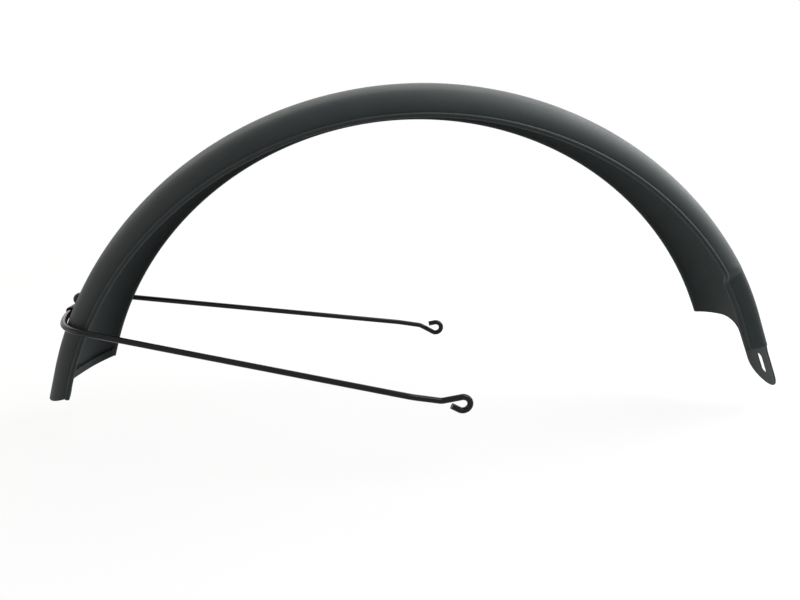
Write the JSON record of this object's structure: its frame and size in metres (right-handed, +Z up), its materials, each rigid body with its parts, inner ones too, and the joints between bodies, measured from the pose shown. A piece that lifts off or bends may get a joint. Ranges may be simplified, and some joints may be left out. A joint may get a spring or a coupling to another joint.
{
  "type": "bicycle mudguard",
  "caption": "Arched black steel rear mudguard with rolled bead edges, a slotted front tongue, a pressed flat on the chain side, a hemmed tail and a bent wire stay ending in eyes.",
  "frame": {"origin": "midway between the stay's two eyes, on the axis of the bolts that go through them", "axes": "+X forward along the bicycle, +Y to the bicycle's left along the eyes' bolt axis, +Z up"},
  "size_m": [0.5496, 0.149, 0.2244],
  "materials": {
    "blade_enamel": "satin black stove enamel on sheet steel",
    "wire_enamel": "gloss black enamel on steel wire",
    "clip_enamel": "satin black enamel on sheet steel",
    "fastener_black": "black finish on steel"
  },
  "bodies": {
    "root": {"mudguard_blade": "blade_enamel", "wire_stay": "wire_enamel", "stay_clip": "clip_enamel", "clip_bolt": "fastener_black", "clip_washer": "fastener_black", "clip_nut": "fastener_black"}
  },
  "joints": []
}
